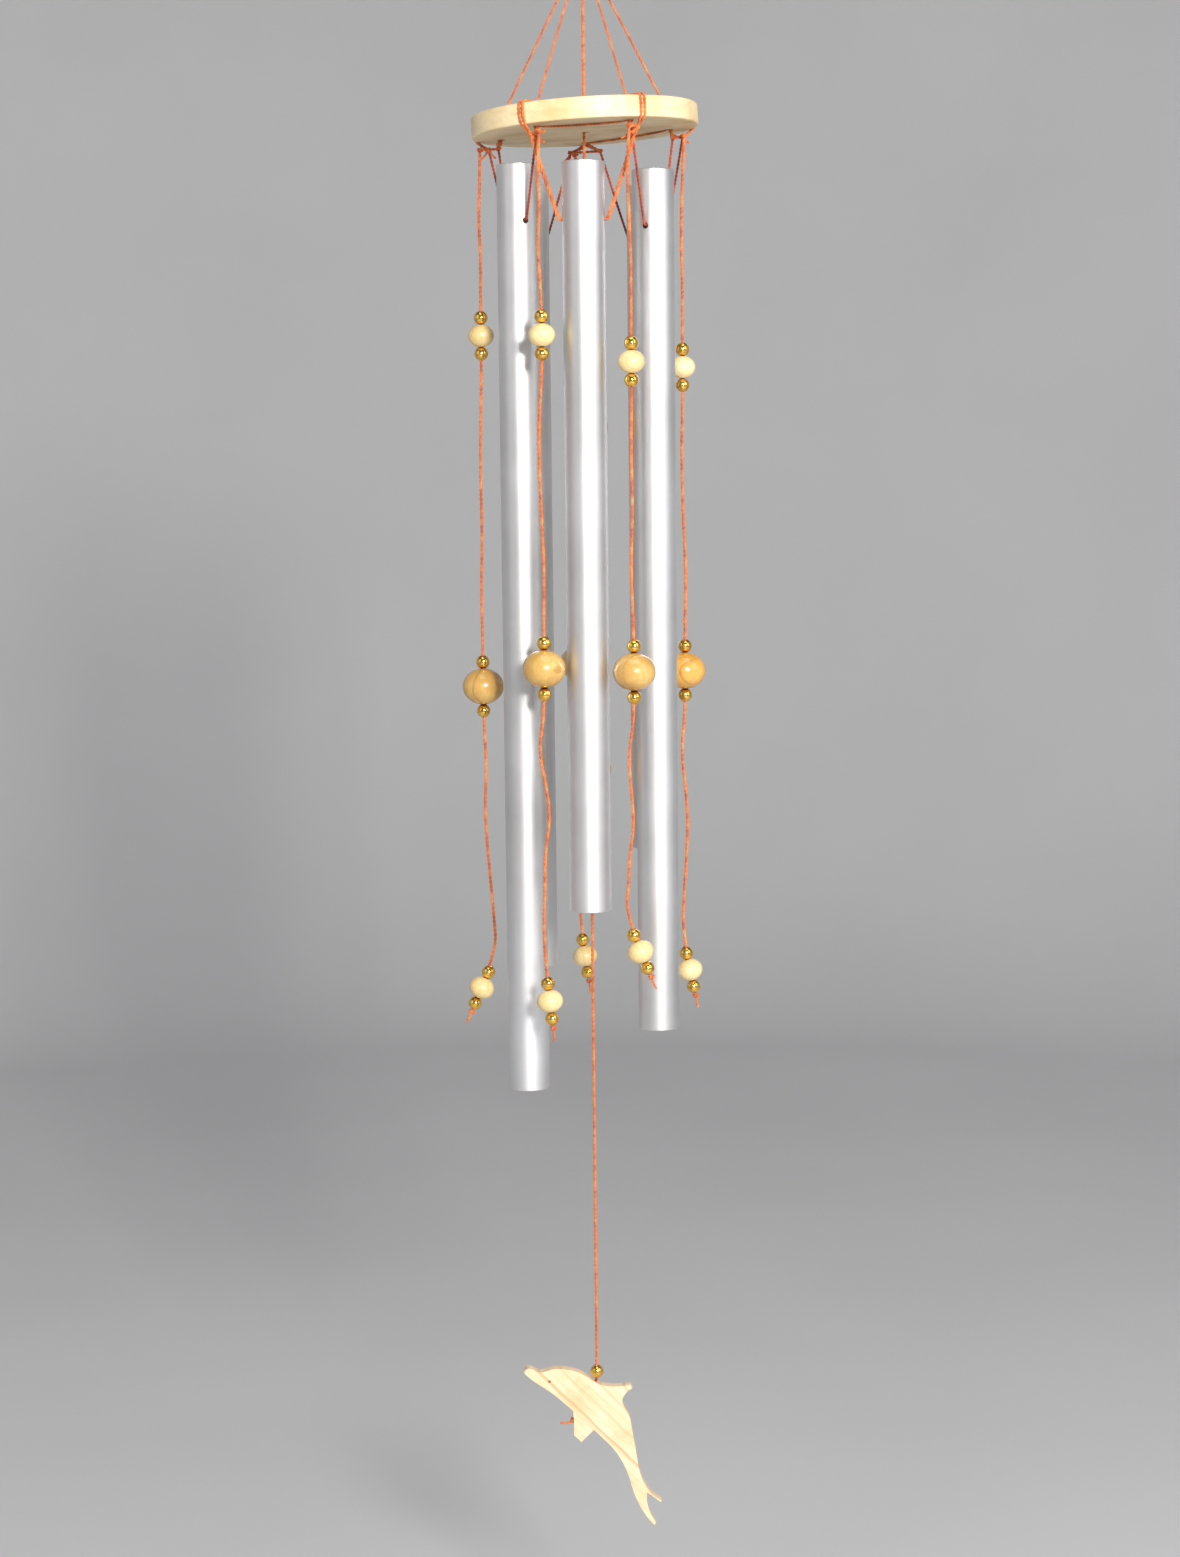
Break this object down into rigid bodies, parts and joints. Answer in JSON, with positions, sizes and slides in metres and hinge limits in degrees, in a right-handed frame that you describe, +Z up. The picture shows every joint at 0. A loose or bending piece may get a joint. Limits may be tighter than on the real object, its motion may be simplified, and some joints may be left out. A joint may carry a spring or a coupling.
{
  "type": "wind chime",
  "caption": "Hanging wind chime: metal tubes and beaded cords in a ring under a round wooden disc, with wooden strikers and a flat wooden dolphin wind catcher in the middle.",
  "frame": {"origin": "where a hook bears inside the top of the hanging ring", "axes": "+Z up, +X to the right and +Y to the back, with the dolphin's face towards -Y"},
  "size_m": [0.1338, 0.1328, 0.8902],
  "materials": {
    "aluminium_tube": "satin anodised, faintly smudged",
    "disc_wood": "pale, sanded, clear matt coat",
    "small_bead_wood": "pale, sanded",
    "large_bead_wood": "clear gloss varnish",
    "dolphin_wood": "pale with brown grain, sanded, matt coat",
    "bead_brass": "polished",
    "ring_brass": "polished wire",
    "orange_cord": "twisted two-ply, waxed",
    "dark_cord": "thin twisted cord"
  },
  "bodies": {
    "ring": {"hanging_ring": "ring_brass"},
    "crown": {"crown_knot": "orange_cord"},
    "canopy": {"top_disc": "disc_wood", "suspension_cord_front": "orange_cord", "suspension_cord_back": "orange_cord", "suspension_cord_left": "orange_cord", "centre_hanger_cord": "orange_cord", "rim_lashing_left": "orange_cord", "rim_lashing_front_left": "orange_cord", "rim_lashing_front_right": "orange_cord", "rim_lashing_right": "orange_cord", "rim_lashing_back": "orange_cord"},
    "sling_front": {"sling_front": "orange_cord"},
    "tube_front": {"tube_front": "aluminium_tube"},
    "sling_front_left": {"sling_front_left": "dark_cord"},
    "tube_front_left": {"tube_front_left": "aluminium_tube"},
    "sling_front_right": {"sling_front_right": "dark_cord"},
    "tube_front_right": {"tube_front_right": "aluminium_tube"},
    "sling_back_left": {"sling_back_left": "dark_cord"},
    "tube_back_left": {"tube_back_left": "aluminium_tube"},
    "sling_back_right": {"sling_back_right": "dark_cord"},
    "tube_back_right": {"tube_back_right": "aluminium_tube"},
    "strand_left": {"strand_cord_left": "orange_cord", "brass_beads_left": "bead_brass", "small_beads_left": "small_bead_wood", "large_bead_left": "large_bead_wood", "end_knot_left": "orange_cord"},
    "strand_front_left": {"strand_cord_front_left": "orange_cord", "brass_beads_front_left": "bead_brass", "small_beads_front_left": "small_bead_wood", "large_bead_front_left": "large_bead_wood", "end_knot_front_left": "orange_cord"},
    "strand_front_right": {"strand_cord_front_right": "orange_cord", "brass_beads_front_right": "bead_brass", "small_beads_front_right": "small_bead_wood", "large_bead_front_right": "large_bead_wood", "end_knot_front_right": "orange_cord"},
    "strand_right": {"strand_cord_right": "orange_cord", "brass_beads_right": "bead_brass", "small_beads_right": "small_bead_wood", "large_bead_right": "large_bead_wood", "end_knot_right": "orange_cord"},
    "strand_back": {"strand_cord_back": "orange_cord", "brass_beads_back": "bead_brass", "small_beads_back": "small_bead_wood", "large_bead_back": "large_bead_wood", "end_knot_back": "orange_cord"},
    "striker_upper": {"striker_cord_upper": "orange_cord", "striker_bead_upper": "large_bead_wood", "striker_brass_upper": "bead_brass"},
    "striker_lower": {"striker_cord_lower": "orange_cord", "striker_bead_lower": "large_bead_wood", "striker_brass_lower": "bead_brass"},
    "wind_catcher": {"wind_catcher": "dolphin_wood", "wind_catcher_bead": "bead_brass", "wind_catcher_cord": "orange_cord", "wind_catcher_knot": "orange_cord"}
  },
  "joints": [
    {"name": "chime_swing_front_back", "type": "hinge", "parent": "ring", "child": "crown", "pos_m": [0, 0, -0.0211], "axis": [1, 0, 0], "range_deg": [-25, 25]},
    {"name": "chime_swing_side", "type": "hinge", "parent": "crown", "child": "canopy", "pos_m": [0, 0, -0.028], "axis": [0, 1, 0], "range_deg": [-25, 25]},
    {"name": "sling_swing_front", "type": "hinge", "parent": "canopy", "child": "sling_front", "pos_m": [-0.02752, -0.04537, -0.12856], "axis": [-0.9984, 0.0218, -0.0523], "range_deg": [-3.5, 14]},
    {"name": "tube_tilt_front", "type": "hinge", "parent": "sling_front", "child": "tube_front", "pos_m": [-0.00071, -0.04596, -0.1725], "axis": [0.9998, -0.0218, 0], "range_deg": [-15, 4]},
    {"name": "sling_swing_front_left", "type": "hinge", "parent": "canopy", "child": "sling_front_left", "pos_m": [-0.04571, 0.01161, -0.12952], "axis": [-0.3741, 0.9272, -0.0196], "range_deg": [-2.5, 20]},
    {"name": "tube_tilt_front_left", "type": "hinge", "parent": "sling_front_left", "child": "tube_front_left", "pos_m": [-0.03516, -0.01455, -0.1704], "axis": [0.3742, -0.9274, 0], "range_deg": [-15, 2.9]},
    {"name": "sling_swing_front_right", "type": "hinge", "parent": "canopy", "child": "sling_front_right", "pos_m": [0.0244, -0.04178, -0.12584], "axis": [-0.3942, -0.9188, -0.0207], "range_deg": [-2.5, 20]},
    {"name": "tube_tilt_front_right", "type": "hinge", "parent": "sling_front_right", "child": "tube_front_right", "pos_m": [0.03585, -0.01508, -0.1738], "axis": [0.3943, 0.919, 0], "range_deg": [-15, 2.9]},
    {"name": "sling_swing_back_left", "type": "hinge", "parent": "canopy", "child": "sling_back_left", "pos_m": [-0.05104, 0.01294, -0.1298], "axis": [0.7462, 0.6646, 0.0391], "range_deg": [-3.5, 20]},
    {"name": "tube_tilt_back_left", "type": "hinge", "parent": "sling_back_left", "child": "tube_back_left", "pos_m": [-0.03061, 0.03114, -0.1769], "axis": [-0.7467, -0.6651, 0], "range_deg": [-15, 4]},
    {"name": "sling_swing_back_right", "type": "hinge", "parent": "canopy", "child": "sling_back_right", "pos_m": [0.00878, 0.052, -0.12666], "axis": [0.7462, -0.6646, 0.0391], "range_deg": [-3.5, 20]},
    {"name": "tube_tilt_back_right", "type": "hinge", "parent": "sling_back_right", "child": "tube_back_right", "pos_m": [0.0337, 0.02981, -0.1776], "axis": [-0.7467, 0.6651, 0], "range_deg": [-15, 4]},
    {"name": "strand_swing_left", "type": "hinge", "parent": "canopy", "child": "strand_left", "pos_m": [-0.05566, 0.01202, -0.13004], "axis": [0.211, 0.9775, 0], "range_deg": [-3, 20]},
    {"name": "strand_swing_front_left", "type": "hinge", "parent": "canopy", "child": "strand_front_left", "pos_m": [-0.02288, -0.05282, -0.12832], "axis": [-0.9176, 0.3974, 0], "range_deg": [0, 20]},
    {"name": "strand_swing_front_right", "type": "hinge", "parent": "canopy", "child": "strand_front_right", "pos_m": [0.02306, -0.05322, -0.12591], "axis": [-0.9176, -0.3976, 0], "range_deg": [0, 20]},
    {"name": "strand_swing_right", "type": "hinge", "parent": "canopy", "child": "strand_right", "pos_m": [0.05318, 0.00598, -0.12433], "axis": [0.1117, -0.9937, 0], "range_deg": [-1.2, 20]},
    {"name": "strand_swing_back", "type": "hinge", "parent": "canopy", "child": "strand_back", "pos_m": [-0.00469, 0.05704, -0.12737], "axis": [0.9966, 0.0819, 0], "range_deg": [-5, 20]},
    {"name": "striker_swing_front_back", "type": "hinge", "parent": "canopy", "child": "striker_upper", "pos_m": [0, 0, -0.1199], "axis": [1, 0, 0], "range_deg": [-3.5, 5]},
    {"name": "striker_swing_side", "type": "hinge", "parent": "striker_upper", "child": "striker_lower", "pos_m": [0, 0, -0.29496], "axis": [0, 1, 0], "range_deg": [-5.5, 5.5]},
    {"name": "wind_catcher_twist", "type": "hinge", "parent": "striker_lower", "child": "wind_catcher", "pos_m": [0, 0, -0.7996], "axis": [0, 0, 1], "range_deg": [-180, 180]}
  ]
}
